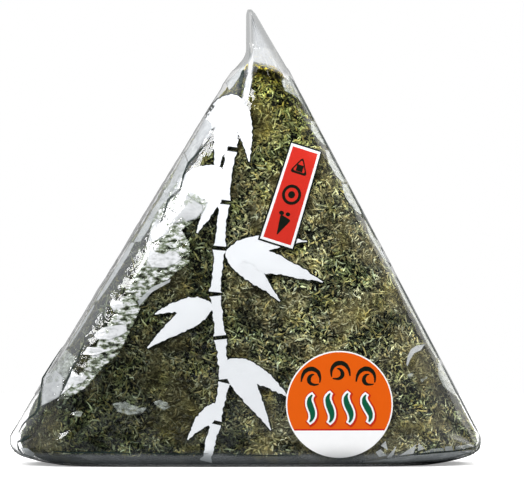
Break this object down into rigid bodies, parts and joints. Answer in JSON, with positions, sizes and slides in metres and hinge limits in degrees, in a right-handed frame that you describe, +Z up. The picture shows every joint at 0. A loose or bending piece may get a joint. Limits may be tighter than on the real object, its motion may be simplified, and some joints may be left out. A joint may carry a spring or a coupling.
{
  "type": "wrapped onigiri rice ball",
  "caption": "Triangular rice ball wrapped in dark seaweed and sealed in clear film, with a gathered film peak on top and a round flavour sticker low on the front.",
  "frame": {"origin": "middle of the base, on the surface that the pack stands on", "axes": "+Z up towards the film peak, +X along the base to the right as seen from the front, -Y out of the printed front"},
  "size_m": [0.098, 0.0335, 0.095],
  "materials": {
    "wrapped_seaweed": "satin",
    "sticker_face": "satin",
    "clear_film": "gloss",
    "white_print": "gloss",
    "red_label": "gloss"
  },
  "bodies": {
    "root": {"film_pack": "wrapped_seaweed", "round_sticker": "sticker_face"}
  },
  "joints": []
}
